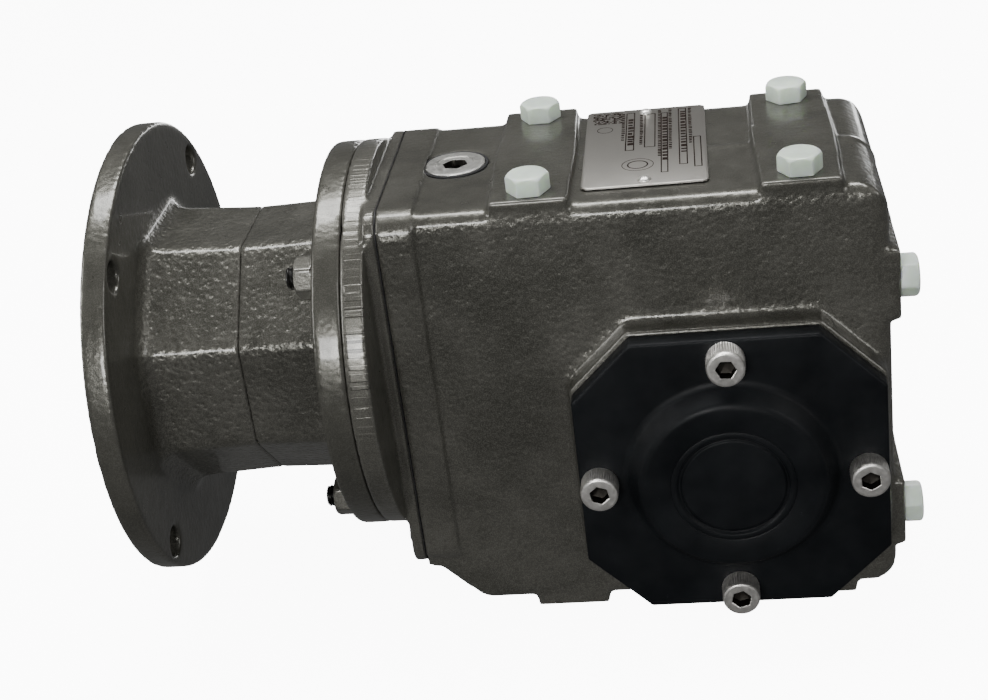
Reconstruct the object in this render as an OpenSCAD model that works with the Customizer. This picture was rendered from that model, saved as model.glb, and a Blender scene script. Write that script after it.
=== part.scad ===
// Right-angle helical-bevel gearbox with a motor adapter and a hollow output shaft.
// Frame: the origin is on the output axis at the housing's mid-plane. The output axis is Y,
// the input axis runs along X above it, and +Z is up. The motor is bolted on at -X.

/* [Housing] */
// Height of the input axis above the output axis
input_z = 35; // [33:0.5:37]
// Width of the housing across its cast side walls
body_w = 86; // [86:1:88]
// Distance of the right end wall from the output axis
body_right = 55.5; // [55:0.5:58]
// Height of the cast top face
body_top = 96.5; // [94:0.5:99]
// Height of the cast bottom face
body_bottom = -57.5; // [-59:0.5:-57]
// Height of a machined mounting pad
pad_h = 3.2; // [2:0.1:4]
// Width of a mounting pad
pad_w = 26; // [24:1:28]
// Distance between the two rows of mounting holes
pad_pitch = 88.5; // [86:0.5:90]
// Distance between the two holes of one mounting pad
hole_span = 68; // [64:1:70]
// Distance of an output boss face from the mid-plane
boss_y = 50.5; // [50:0.5:52]

/* [Output cover] */
// Width across the flats of the octagonal cover
cover_w = 104; // [100:1:105]
// Thickness of the cover's flange
cover_t = 6.8; // [6:0.1:8]
// Height of the dome above the flange
dome_h = 7; // [5:0.5:9]
// Radius of the screw circle on each output boss
boss_screw_r = 45; // [44.5:0.1:45.5]

/* [Input flanges] */
// Outer diameter of the motor flange
motor_flange_d = 165.1; // [160:0.1:170]
// Thickness of the motor flange
motor_flange_t = 9; // [8:0.5:12]
// Bolt circle of the motor flange
motor_pcd = 149.2; // [146:0.1:150]
// Diameter of the motor's centring register
pilot_d = 114.3; // [110:0.1:120]
// Left face of the motor flange
motor_face_x = -208.5; // [-212:0.5:-206]
// Diameter of the two round joint flanges
joint_flange_d = 140; // [138:1:142]
// Width across the flats of the octagonal hub
hub_w = 92; // [90:1:94]
// Diameter of the motor shaft that the coupling clamps
motor_shaft_d = 15.875; // [14:0.125:19]

/* [Gears] */
// Spiral angle of the bevel teeth
spiral = 30; // [20:1:35]
// Diameter of the hollow shaft's bore
output_bore_d = 25; // [24:1:26]

/* [Hidden] */
$fn = 64;

// Fits: radial clearance of a seat, and of a screw in its tapped hole
seat_gap = 0.02;
thread_gap = 0.05;
ball_gap = 0.05;
clearance_r = 0.4;
bolt_gap = 0.5;

// How far a cut runs past the face that it opens
CUT = 1;

// Metric screw sizes: shank radius, head radius, head height, hexagon socket across flats
M8_R = 4;
M8_HEAD_R = 6.5;
M8_HEAD_H = 8;
M8_SOCKET = 6;
hex_flats = 13;
M6_R = 3;
M6_HEAD_R = 5;
M6_HEAD_H = 6;
M6_SOCKET = 5;
SOCKET_DEPTH = 3.9;
HEAD_BEVEL = 0.6;
PLUG_R = 3.6;

// Stations along X, from the housing joint to the motor
joint_x = -111.5;
gasket_t = 0.5;
lip_end_x = -99.3;
joint_disc_x = -124;
plate_x = -116;
adapter_disc_x = -134;
seam_x = -165;
seam_gap = 0.03;
hub_draft = 0.8;
hub_root_x = motor_face_x + motor_flange_t;
hub_flare = 0.6;
flange_fillet = 6;
disc_fillet = 4;
hub_bore_r = 34;
register_r = 38;
register_l = 3;
o_ring_r = 42;
o_ring_wire_r = 0.98;
o_ring_groove = [40.6, 43.4, 2];
sleeve_end_x = -84.5;
stud_circle_r = 61;
stud_depth = 7.5;
stud_end_x = -143.6;
joint_circle_r = 40;
joint_screw_depth = 12;
pilot_depth = 4.5;
motor_hole_r = 5.5;
joint_head_x = motor_face_x + pilot_depth + M6_HEAD_H + 0.5;

// The main housing
half_w = body_w / 2;
wall = 6.5;
edge_r = 5;
corner_r = 11;
lip_half_w = half_w + 2;
lip_top = body_top + 1.5;
lip_bottom = -40.5;
lip_corner_r = 9;
chamfer_start_x = -106.5;
chamfer_end_x = -90.5;
ridge_h = 0.4;
ridge_w = 1.6;
left_pad_x = -60.3;
right_pad_x = left_pad_x + pad_pitch;
upper_end_z = 59.5;
lower_end_z = upper_end_z - pad_pitch;
pad_bulge = 1;
hole_depth = 12;
thread_boss_r = 7.5;
thread_boss_h = 12.5;
pad_root = 10;
opening_half_w = 28;
opening_bottom = -24;
opening_top = 82;
opening_corner_r = 8;
cavity_corner = 10;
cavity_left = [-86, -38];
output_seat_r = 34;
intermediate_seat_r = 20;
seat_inner_y = 26.5;
seat_wall = 6;
seat_stop = 12.1;
boss_oct = 53;
oct_side = 32;
screw_row_z = 53;
screw_row_y = 36;
screw_row_depth = 11.8;
boss_hole_depth = 13.5;
dowel_z = -30;
dowel_l = 12;

// Gear pairs: tooth counts, the helical stage's centre distance, the bevel stage's module
z_helical_pinion = 14;
z_output = 45;
z_bevel_pinion = 12;
z_bevel_wheel = 27;
helical_a = 60;
bevel_m = 2.25;

// Axis of the intermediate shaft
mid_x = -sqrt(helical_a * helical_a - input_z * input_z);

// Oil plugs
oil_plug_r = 10.8;
oil_ring_r = 12;
oil_thread_r = 8;
oil_recess = 1.8;
oil_boss = 5;
filler_pos = [-89.2, 3];
drain_x = -16;
level_pos = [-70, -10];

// Gear tooth proportions
PRESSURE = 20;
ADDENDUM = 1;
DEDENDUM = 1.25;
helical_head = 0.96;
helical_foot = 1.22;
root_land = 0.25;
tiny = 0.001;
helical_mn = 2;
helical_width = 20;
helical_face_y = -5.5;
helix = acos(helical_mn * (z_helical_pinion + z_output) / (2 * helical_a));
helical_mt = helical_mn / cos(helix);
helical_alpha = atan(tan(PRESSURE) / cos(helix));
helical_shift = 0.2;
backlash = 0.07;
flank_steps = 3;
bevel_shift = 0.35;
bevel_width = 10.5;
bevel_slices = 4;
pinion_cone = atan(z_bevel_pinion / z_bevel_wheel);
wheel_cone = 90 - pinion_cone;
bevel_reach = bevel_m * sqrt(pow(z_bevel_pinion, 2) + pow(z_bevel_wheel, 2)) / 2;
RAD = 180 / PI;

// Bearings: bore, outside diameter, width, ball diameter, number of balls
OUTPUT_BRG = [40, 68, 15, 7.9, 12];
MID_BRG = [17, 40, 12, 6.75, 8];
PINION_BRG = [20, 47, 14, 7.9, 8];
groove_fit = 0.52;
shoulder = 0.3;
cage_side = 1.2;
pocket_gap = 0.12;
output_brg_y = [-seat_inner_y - 15, seat_inner_y];
mid_brg_y = [-seat_inner_y - 12, seat_inner_y];
pinion_brg_x = [-122.5, -99];

// Hollow shaft
hollow_r = 20;
hollow_half = 53;
circlip_y = 41.7;
circlip_t = 1.7;
circlip_depth = 1.2;
circlip_r = 23.2;
retainer_y = 41.8;
retainer_t = 2.5;
retainer_groove = 1.5;
seal_y = 44.6;
output_key_w = 8;
output_key_top = 15.8;
gear_hub_r = 27;
gear_recess = [29, 38];
spacer_r = 23.5;
gear_key = [8, 18, 10];
gear_key_at = [-24, -24.5, -5];

// Intermediate shaft
wheel_seat_r = 10;
wheel_key = [6, 12, 6];
wheel_key_at = [mid_x + 6.5, 13, input_z - 3];

// Closing cap of the intermediate bore: its inner face, edge and outer face
cap_y = [39.4, 42, 42.8];

// Output cover and gasket
cover_gasket_t = 0.4;
cover_face_y = boss_y + cover_gasket_t + cover_t;
cover_lip = 0.8;
dome_bore_r = 30;
dome_top_r = 29.2;
dome_base_r = 37.5;
dome_slope = 55;
dome_steps = 5;
disc_r = 17.4;
disc_sink = 0.6;
fine_ring_r = 20.8;
cover_screw_l = 19;

// Nameplate
plate_centre = [-22.3, 4.6];
plate_size = [42.4, 71.6];
plate_t = 0.8;
pin_reach = 32;
pin_r = 1.5;
pin_head_r = 2.3;

// Coupling
coupling_r = 27;
jaw_x0 = -167;
jaw_x1 = -157;
motor_hub_x = -199;
gear_hub_x = -139.5;
jaw_angle = 36;
jaw_gap = 0.5;
arm_angle = 22;
jaw_inner_r = 14;
coupling_bore_r = 7;
coupling_key_size = [13, 5, 5];
coupling_key_at = [-154, -2.5, input_z + coupling_bore_r - 3];
motor_key = [4.8, 10.2];
clamp_slit = [19, 2];
clamp_screw_at = [motor_hub_x + 9, 0, input_z - 18];
clamp_seat = 8;
spider_ring = [9, 13.7];

// Input shaft
seal_seat_r = 8.5;
shaft_end_x = -156;
sleeve_r = 13;
locknut_r = 16;
locknut_t = 6;
seal_w = 7;
input_seal_x = adapter_disc_x - 2.6;

// ---------------------------------------------------------------- helpers

// Children are drawn round a local Z axis, which is laid along Y at (x, z)
module on_y(x = 0, z = 0) {
    translate([x, 0, z]) rotate([-90, 0, 0]) children();
}

// Children are drawn round a local Z axis, which is laid along X at the input height
module on_input() {
    translate([0, 0, input_z]) rotate([0, 90, 0]) children();
}

// A 2D outline in (x, z), extruded from y0 to y1
module plate_y(y0, y1) {
    translate([0, y1, 0]) rotate([90, 0, 0]) linear_extrude(y1 - y0) children();
}

// A 2D outline in (y, z), extruded from x0 to x1
module plate_x(x0, x1) {
    translate([x0, 0, 0]) rotate([90, 0, 90]) linear_extrude(x1 - x0) children();
}

module rod(r, h0, h1) {
    translate([0, 0, h0]) cylinder(r = r, h = h1 - h0);
}

module ring(r_in, r_out, h0, h1) {
    rotate_extrude() translate([r_in, h0]) square([r_out - r_in, h1 - h0]);
}

module hexagon(flats, h0, h1) {
    translate([0, 0, h0]) cylinder(r = flats / sqrt(3), h = h1 - h0, $fn = 6);
}

// A rectangle from corner a to corner b with its four corners rounded
module rounded_rect(a, b, r) {
    translate([a.x + r, a.y]) square([b.x - a.x - 2 * r, b.y - a.y]);
    translate([a.x, a.y + r]) square([b.x - a.x, b.y - a.y - 2 * r]);
    for (x = [a.x + r, b.x - r], y = [a.y + r, b.y - r]) translate([x, y]) circle(r);
}

// The piece that a corner of radius r loses; the corner itself is at the origin
module corner_waste(r) {
    difference() {
        translate([-r, -r]) square(2 * r);
        translate([-r, -r]) circle(r);
    }
}

// An octagon with flats at +-half and corners at +-side
module octagon(half, side) {
    polygon([
        [side, half], [half, side], [half, -side], [side, -half],
        [-side, -half], [-half, -side], [-half, side], [-side, half]
    ]);
}

// A socket head cap screw: its head stands above h = 0 and its shank goes down
module cap_screw(r, head_r, head_h, socket, length) {
    difference() {
        union() {
            rotate_extrude() polygon([
                [0, 0], [head_r, 0], [head_r, head_h - HEAD_BEVEL],
                [head_r - HEAD_BEVEL, head_h], [0, head_h]
            ]);
            rod(r - thread_gap, -length, 0.5);
        }
        hexagon(socket, head_h - SOCKET_DEPTH, head_h + CUT);
    }
}

// A key or its keyway: a block of the given size from the corner at, less a gap all round
module key_block(at, size, gap) {
    translate([at.x + gap, at.y + gap, at.z + gap])
        cube([size.x - 2 * gap, size.y - 2 * gap, size.z - 2 * gap]);
}

// The four corners of a rectangle of hole centres
module at_corners(dx, dy) {
    for (x = [-dx / 2, dx / 2], y = [-dy / 2, dy / 2]) translate([x, y, 0]) children();
}

// Four places on a circle round the local axis
module around(r, start) {
    for (k = [0:3]) rotate(start + 90 * k) translate([r, 0, 0]) children();
}

// ---------------------------------------------------------------- bearings

function pitch_r(b) = (b[0] + b[1]) / 4;
function groove_r(b) = groove_fit * b[3];

module outer_ring(b) {
    groove_c = pitch_r(b) + b[3] / 2 + ball_gap - groove_r(b);
    shoulder_r = pitch_r(b) + shoulder * b[3];
    rotate_extrude() difference() {
        translate([shoulder_r, 0]) square([b[1] / 2 - seat_gap - shoulder_r, b[2]]);
        translate([groove_c, b[2] / 2]) circle(groove_r(b));
    }
}

module inner_ring(b) {
    groove_c = pitch_r(b) - b[3] / 2 - ball_gap + groove_r(b);
    shoulder_r = pitch_r(b) - shoulder * b[3];
    rotate_extrude() difference() {
        translate([b[0] / 2, 0]) square([shoulder_r - b[0] / 2, b[2]]);
        translate([groove_c, b[2] / 2]) circle(groove_r(b));
    }
}

module place_balls(b) {
    for (k = [0:b[4] - 1]) rotate(360 / b[4] * k) translate([pitch_r(b), 0, b[2] / 2]) children();
}

module balls(b) {
    place_balls(b) sphere(r = b[3] / 2);
}

module cage(b) {
    half = b[3] / 2;
    difference() {
        ring(pitch_r(b) - 1, pitch_r(b) + 1, b[2] / 2 - half - cage_side, b[2] / 2 + half + cage_side);
        place_balls(b) rotate([0, 90, 0]) rod(half + pocket_gap, -half, half);
    }
}

module at_output_bearings() {
    for (y = output_brg_y) on_y() translate([0, 0, y]) children();
}

module at_mid_bearings() {
    for (y = mid_brg_y) on_y(mid_x, input_z) translate([0, 0, y]) children();
}

module at_pinion_bearings() {
    for (x = pinion_brg_x) on_input() translate([0, 0, x]) children();
}

// ---------------------------------------------------------------- gear teeth

function inv(a) = tan(a) * RAD - a;

// Half the tooth's angle at radius r, for a gear of z teeth with pitch radius rp
function half_angle(z, rp, alpha, shift, m, r) =
    let (rb = rp * cos(alpha),
         half_pitch = 90 / z + 2 * shift * tan(alpha) * m / (2 * rp) * RAD - backlash / rp * RAD,
         a = r > rb ? acos(rb / r) : 0)
    half_pitch + inv(alpha) - inv(a);

// One tooth as [radius, angle] pairs, counterclockwise, centred on angle 0
function tooth(z, rp, alpha, shift, m, head, foot) =
    let (rb = rp * cos(alpha),
         ra = rp + (head + shift) * m,
         rf = rp - (foot - shift) * m,
         r0 = max(rb, rf) + tiny,
         radii = [for (i = [0:flank_steps]) r0 + (ra - r0) * i / flank_steps],
         root_a = half_angle(z, rp, alpha, shift, m, r0) + root_land)
    concat(
        [[rf, -root_a]],
        [for (r = radii) [r, -half_angle(z, rp, alpha, shift, m, r)]],
        [for (i = [flank_steps:-1:0]) [radii[i], half_angle(z, rp, alpha, shift, m, radii[i])]],
        [[rf, root_a]]
    );

// Outline of a gear of the helical pair; a tooth is centred on the angle phase
function helical_outline(z, shift, phase) =
    let (rp = z * helical_mt / 2,
         t = tooth(z, rp, helical_alpha, shift, helical_mt, helical_head, helical_foot))
    [for (k = [0:z - 1], p = t) let (a = phase + 360 / z * k + p[1]) p[0] * [cos(a), sin(a)]];

// One ring of a bevel gear, at the fraction s of the cone distance; hand is 1 or -1. The tooth
// form is that of the back cone: a point at height h over the pitch line lies h cos(cone) out
// and h sin(cone) in.
function bevel_ring(z, cone, shift, phase, hand, s) =
    let (r = z * bevel_m / 2,
         rv = r / cos(cone),
         t = tooth(z / cos(cone), rv, PRESSURE, shift, bevel_m, ADDENDUM, DEDENDUM),
         turn = phase + hand * tan(spiral) / sin(cone) * ln(s) * RAD)
    [for (k = [0:z - 1], p = t)
        let (h = p[0] - rv, a = turn + 360 / z * k + p[1] / cos(cone), q = r + h * cos(cone))
        s * [q * cos(a), q * sin(a), r / tan(cone) - h * sin(cone)]];

// A bevel gear with its apex at the origin and its axis along +Z. Behind the teeth it closes
// with a flat back of radius back_r at back_h, in front on the axis at front_h.
module bevel_gear(z, cone, shift, phase, hand, back_r, back_h, front_h) {
    scales = [for (i = [0:bevel_slices]) 1 - bevel_width / bevel_reach * i / bevel_slices];
    heel = bevel_ring(z, cone, shift, phase, hand, 1);
    flat = [for (p = heel) let (a = atan2(p.y, p.x)) [back_r * cos(a), back_r * sin(a), back_h]];
    rings = concat([flat], [for (s = scales) bevel_ring(z, cone, shift, phase, hand, s)]);
    n = len(heel);
    last = (len(rings) - 1) * n;
    back = len(rings) * n;
    polyhedron(
        points = concat([for (g = rings, p = g) p], [[0, 0, back_h], [0, 0, front_h]]),
        faces = concat(
            [for (i = [0:n - 1]) [back, (i + 1) % n, i]],
            [for (i = [0:n - 1]) [back + 1, last + i, last + (i + 1) % n]],
            [for (j = [0:len(rings) - 2], i = [0:n - 1])
                [j * n + i, j * n + (i + 1) % n, (j + 1) * n + i]],
            [for (j = [0:len(rings) - 2], i = [0:n - 1])
                [j * n + (i + 1) % n, (j + 1) * n + (i + 1) % n, (j + 1) * n + i]]
        )
    );
}

// ---------------------------------------------------------------- main housing

// Outline of the cast body in (x, z), grown by g on every side but the joint
module body_outline(g = 0) {
    difference() {
        polygon([
            [joint_x, body_top + g], [body_right + g, body_top + g],
            [body_right + g, body_bottom - g], [chamfer_end_x, body_bottom - g],
            [chamfer_start_x, lip_bottom - 1 - g], [joint_x, lip_bottom - g]
        ]);
        translate([body_right + g, body_top + g]) corner_waste(corner_r);
        translate([body_right + g, body_bottom - g]) mirror([0, 1]) corner_waste(corner_r);
    }
}

module body_shell() {
    intersection() {
        plate_y(-half_w, half_w) body_outline();
        plate_x(joint_x, body_right + CUT)
            rounded_rect([-half_w, body_bottom], [half_w, body_top], edge_r);
        translate([0, 0, body_bottom - CUT]) linear_extrude(body_top - body_bottom + 2 * CUT)
            rounded_rect([joint_x - 20, -half_w], [body_right, half_w], edge_r);
    }
}

// Plan of a pad: full depth of the housing, a little wider at the parting plane
module pad_plan() {
    side = pad_w / 2;
    bulge = side + pad_bulge;
    depth = half_w - 0.4;
    polygon([[-side, -depth], [side, -depth], [bulge, 0], [side, depth], [-side, depth], [-bulge, 0]]);
}

module pads() {
    for (x = [left_pad_x, right_pad_x]) {
        translate([x, 0, body_top - pad_root]) linear_extrude(pad_root + pad_h) pad_plan();
        translate([x, 0, body_bottom - pad_h]) linear_extrude(pad_root + pad_h) pad_plan();
    }
    for (z = [upper_end_z, lower_end_z])
        translate([body_right - pad_root, 0, z]) rotate([0, 90, 0])
            linear_extrude(pad_root + pad_h) pad_plan();
}

module cavity_outline() {
    right = body_right - wall;
    top = body_top - wall;
    bottom = body_bottom + wall;
    polygon([
        [lip_end_x, top], [right - cavity_corner, top], [right, top - cavity_corner],
        [right, bottom + cavity_corner], [right - cavity_corner, bottom],
        [cavity_left.x, bottom], [lip_end_x, cavity_left.y]
    ]);
}

// Opening between the housing and the input castings
module opening_outline() {
    rounded_rect([-opening_half_w, opening_bottom], [opening_half_w, opening_top], opening_corner_r);
}

// Outline of the rectangular joint flange
module joint_outline() {
    rounded_rect([-lip_half_w, lip_bottom], [lip_half_w, lip_top], lip_corner_r);
}

// Cylindrical bosses that stand in the cavity round the bearing seats and the tapped holes
module inner_bosses() {
    for (side = [-1, 1]) scale([1, side, 1]) {
        on_y() rod(output_seat_r + seat_wall, seat_inner_y, half_w);
        on_y(mid_x, input_z) rod(intermediate_seat_r + seat_wall, seat_inner_y, half_w);
    }
    translate([left_pad_x + pad_pitch / 2, 0, 0]) at_corners(pad_pitch, hole_span) {
        rod(thread_boss_r, body_top - thread_boss_h, body_top);
        rod(thread_boss_r, body_bottom, body_bottom + thread_boss_h);
    }
    translate([body_right, 0, upper_end_z - pad_pitch / 2]) rotate([0, -90, 0])
        at_corners(pad_pitch, hole_span) rod(thread_boss_r, 0, thread_boss_h);
    translate([filler_pos.x, filler_pos.y, 0])
        rod(oil_thread_r + oil_boss, body_top - wall - oil_boss, body_top);
}

module cavity() {
    difference() {
        plate_y(-half_w + wall, half_w - wall) cavity_outline();
        inner_bosses();
    }
    plate_x(joint_x - CUT, lip_end_x + CUT) opening_outline();
}

module bearing_bores() {
    on_y() rod(output_seat_r, -boss_y - CUT, boss_y + CUT);
    for (side = [-1, 1]) scale([1, side, 1])
        on_y() rod(output_seat_r + retainer_groove, retainer_y, retainer_y + retainer_t + thread_gap);
    on_y(mid_x, input_z) {
        rod(intermediate_seat_r, -seat_inner_y - seat_stop, -seat_inner_y + CUT);
        rod(intermediate_seat_r - seat_wall, -seat_inner_y - seat_stop - CUT, -seat_inner_y);
        rod(intermediate_seat_r, seat_inner_y - CUT, half_w + CUT);
    }
}

module pad_holes() {
    translate([left_pad_x + pad_pitch / 2, 0, 0]) at_corners(pad_pitch, hole_span) {
        rod(PLUG_R, body_top + pad_h - hole_depth, body_top + pad_h + CUT);
        rod(M8_R, body_bottom - pad_h - CUT, body_bottom - pad_h + hole_depth);
    }
    translate([body_right + pad_h, 0, upper_end_z - pad_pitch / 2]) rotate([0, -90, 0])
        at_corners(pad_pitch, hole_span) rod(PLUG_R, -CUT, hole_depth);
}

module boss_holes() {
    for (side = [-1, 1]) scale([1, side, 1])
        on_y() around(boss_screw_r, 0) rod(M8_R, boss_y - boss_hole_depth, boss_y + CUT);
}

// A hole for one of the two dowels that centre the housing joint, in both castings
module dowel_hole(y) {
    depth = dowel_l / 2 + CUT;
    translate([joint_x - depth, y, dowel_z]) rotate([0, 90, 0]) rod(M6_R, 0, 2 * depth);
}

module flange_holes() {
    for (y = [-screw_row_y, screw_row_y]) {
        for (z = [-screw_row_z, screw_row_z])
            translate([0, y, z]) on_input() rod(M6_R, joint_x - CUT, joint_x + screw_row_depth);
        dowel_hole(y);
    }
}

// The seat of an oil plug: its axis is local Z and the cast face is at h = 0
module oil_seat(ring_r) {
    rod(oil_thread_r, -wall - oil_boss - CUT, CUT);
    rod(ring_r + thread_gap, -oil_recess, CUT);
}

module oil_holes() {
    translate([filler_pos.x, filler_pos.y, body_top]) oil_seat(oil_ring_r);
    translate([drain_x, 0, body_bottom]) rotate([180, 0, 0]) oil_seat(oil_plug_r);
    translate([level_pos.x, half_w, level_pos.y]) rotate([-90, 0, 0]) oil_seat(oil_plug_r);
}

module gear_housing() {
    color("#5b5a52") difference() {
        union() {
            body_shell();
            plate_x(joint_x, lip_end_x) joint_outline();
            plate_y(-ridge_w / 2, ridge_w / 2) intersection() {
                body_outline(ridge_h);
                translate([lip_end_x, -200]) square([300, 400]);
            }
            pads();
            plate_y(-boss_y, boss_y) octagon(boss_oct, oct_side);
        }
        cavity();
        bearing_bores();
        pad_holes();
        boss_holes();
        flange_holes();
        oil_holes();
    }
}

// ---------------------------------------------------------------- input castings

screw_seat_x = joint_disc_x + M6_HEAD_H + 0.3;

module pinion_housing() {
    bearing_r = PINION_BRG[1] / 2;
    color("#5b5a52") difference() {
        union() {
            on_input() {
                rod(joint_flange_d / 2, joint_disc_x, plate_x);
                rod(register_r, adapter_disc_x - register_l, joint_disc_x);
                rod(opening_half_w - 1, plate_x, sleeve_end_x);
            }
            plate_x(plate_x - 0.2, joint_x - gasket_t / 2) joint_outline();
        }
        on_input() {
            rod(bearing_r, adapter_disc_x - register_l - CUT, pinion_brg_x[0] + PINION_BRG[2]);
            rod(bearing_r - 2.5, plate_x, pinion_brg_x[1] + CUT);
            rod(bearing_r, pinion_brg_x[1], sleeve_end_x + CUT);
            ring(o_ring_groove[0], o_ring_groove[1], joint_disc_x - CUT,
                joint_disc_x + o_ring_groove[2]);
            around(stud_circle_r, 45) rod(M8_R, joint_disc_x - CUT, joint_disc_x + stud_depth);
        }
        for (y = [-screw_row_y, screw_row_y]) {
            for (z = [-screw_row_z, screw_row_z]) translate([0, y, z]) on_input() {
                rod(M6_HEAD_R + clearance_r, joint_disc_x - CUT, screw_seat_x);
                rod(M6_R + clearance_r, joint_disc_x, joint_x + CUT);
            }
            dowel_hole(y);
        }
    }
}

// Section of the octagonal hub, with rounded corners, at half its width across the flats
function hub_points(half) =
    let (corner_r = 5, core = half - corner_r, side = core * tan(22.5))
    [for (k = [0:7], i = [0:3])
        let (c = 45 * k + 22.5, a = c - 22.5 + 15 * i)
        core / cos(22.5) * [cos(c), sin(c)] + corner_r * [cos(a), sin(a)]];

// A hub lofted through stations, each [x, half width across the flats], with rising x
module lofted_hub(stations) {
    rings = [for (s = stations) [for (p = hub_points(s[1])) [s[0], p.x, p.y + input_z]]];
    n = len(rings[0]);
    count = len(rings);
    polyhedron(
        points = [for (g = rings, p = g) p],
        faces = concat(
            [[for (i = [0:n - 1]) i]],
            [[for (i = [n - 1:-1:0]) (count - 1) * n + i]],
            [for (j = [0:count - 2], i = [0:n - 1])
                [j * n + i, (j + 1) * n + i, j * n + (i + 1) % n]],
            [for (j = [0:count - 2], i = [0:n - 1])
                [j * n + (i + 1) % n, (j + 1) * n + i, (j + 1) * n + (i + 1) % n]]
        )
    );
}

// Stations of a concave fillet of radius r that leaves a face at x towards dir
function root_fillet(x, dir, w, r) =
    [for (t = [0:15:90]) [x + dir * r * (1 - cos(t)), w + r * (1 - sin(t))]];

function reversed(list) = [for (i = [len(list) - 1:-1:0]) list[i]];

module coupling_housing() {
    half = hub_w / 2;
    color("#5b5a52") difference() {
        union() {
            on_input() rod(joint_flange_d / 2, adapter_disc_x, joint_disc_x);
            lofted_hub(concat(
                [[seam_x + seam_gap, half - hub_draft]],
                reversed(root_fillet(adapter_disc_x, -1, half, disc_fillet)),
                [[adapter_disc_x + CUT, half + disc_fillet]]
            ));
        }
        on_input() {
            rod(register_r + seat_gap, adapter_disc_x - register_l - CUT, joint_disc_x + CUT);
            rod(hub_bore_r, seam_x - CUT, adapter_disc_x);
            around(stud_circle_r, 45) rod(M8_R + bolt_gap, adapter_disc_x - CUT, joint_disc_x + CUT);
            around(joint_circle_r, 0) rod(M6_R, seam_x - CUT, seam_x + joint_screw_depth + CUT);
        }
    }
}

module motor_adapter() {
    half = hub_w / 2;
    color("#5b5a52") difference() {
        union() {
            on_input() rod(motor_flange_d / 2, motor_face_x, hub_root_x);
            lofted_hub(concat(
                [[hub_root_x - CUT, half + hub_flare + flange_fillet]],
                root_fillet(hub_root_x, 1, half + hub_flare, flange_fillet),
                [[seam_x - seam_gap, half - hub_draft]]
            ));
        }
        on_input() {
            rod(pilot_d / 2, motor_face_x - CUT, motor_face_x + pilot_depth);
            rod(hub_bore_r, motor_face_x, seam_x + CUT);
            around(motor_pcd / 2, 45) rod(motor_hole_r, motor_face_x - CUT, hub_root_x + CUT);
            around(joint_circle_r, 0) {
                rod(M6_HEAD_R + clearance_r, motor_face_x, joint_head_x);
                rod(M6_R + clearance_r, motor_face_x, seam_x + CUT);
            }
        }
    }
}

// ---------------------------------------------------------------- static small parts

module housing_gasket() {
    color("#1d1d1b") difference() {
        plate_x(joint_x - gasket_t / 2, joint_x) joint_outline();
        plate_x(joint_x - CUT, joint_x + CUT) opening_outline();
        for (y = [-screw_row_y, screw_row_y]) {
            for (z = [-screw_row_z, screw_row_z])
                translate([0, y, z]) on_input()
                    rod(M6_R + clearance_r, joint_x - CUT, joint_x + CUT);
            dowel_hole(y);
        }
    }
}

module housing_screws() {
    color("#3a3a3a") for (y = [-screw_row_y, screw_row_y], z = [-screw_row_z, screw_row_z])
        translate([screw_seat_x, y, input_z + z]) rotate([0, -90, 0]) cap_screw(
            M6_R, M6_HEAD_R, M6_HEAD_H, M6_SOCKET, joint_x + screw_row_depth - 1 - screw_seat_x);
}

module housing_dowels() {
    color("silver") for (y = [-screw_row_y, screw_row_y])
        translate([joint_x, y, dowel_z]) rotate([0, 90, 0])
            rod(M6_R - seat_gap, -dowel_l / 2, dowel_l / 2);
}

module adapter_studs() {
    r = M8_R - thread_gap;
    end_x = joint_disc_x + stud_depth - 0.3;
    color("#2b2b2b") on_input() around(stud_circle_r, 45) rotate_extrude() polygon([
        [0, stud_end_x], [r - 0.85, stud_end_x], [r, stud_end_x + 0.9], [r, end_x], [0, end_x]
    ]);
}

// A hexagon nut or head with chamfered corners
module hex_body(flats, h, bevel_h) {
    corner = flats / sqrt(3);
    intersection() {
        hexagon(flats, 0, h);
        rotate_extrude() polygon([
            [0, 0], [corner + 1, 0], [corner + 1, h - bevel_h - 0.3],
            [flats / 2 - 0.4, h], [0, h]
        ]);
    }
}

module adapter_nuts() {
    nut_t = 6.4;
    color("#4c4b47") on_input() around(stud_circle_r, 45)
        translate([0, 0, adapter_disc_x]) rotate([180, 0, 15]) difference() {
            hex_body(hex_flats, nut_t, 0.8);
            rod(M8_R, -CUT, nut_t + CUT);
        }
}

module adapter_o_ring() {
    color("#161616") on_input()
        rotate_extrude() translate([o_ring_r, joint_disc_x + 1]) circle(o_ring_wire_r);
}

module hub_joint_screws() {
    length = seam_x + joint_screw_depth - joint_head_x;
    color("#3a3a3a") on_input() around(joint_circle_r, 0) translate([0, 0, joint_head_x])
        rotate([180, 0, 0]) cap_screw(M6_R, M6_HEAD_R, M6_HEAD_H, M6_SOCKET, length);
}

module bearing_closing_cap() {
    r = intermediate_seat_r - seat_gap;
    color("#6b6a63") on_y(mid_x, input_z) rotate_extrude() polygon([
        [0, cap_y[0]], [r, cap_y[0]], [r, cap_y[1]], [r - 1, cap_y[2]], [0, cap_y[2]]
    ]);
}

// ---------------------------------------------------------------- output cover

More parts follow.
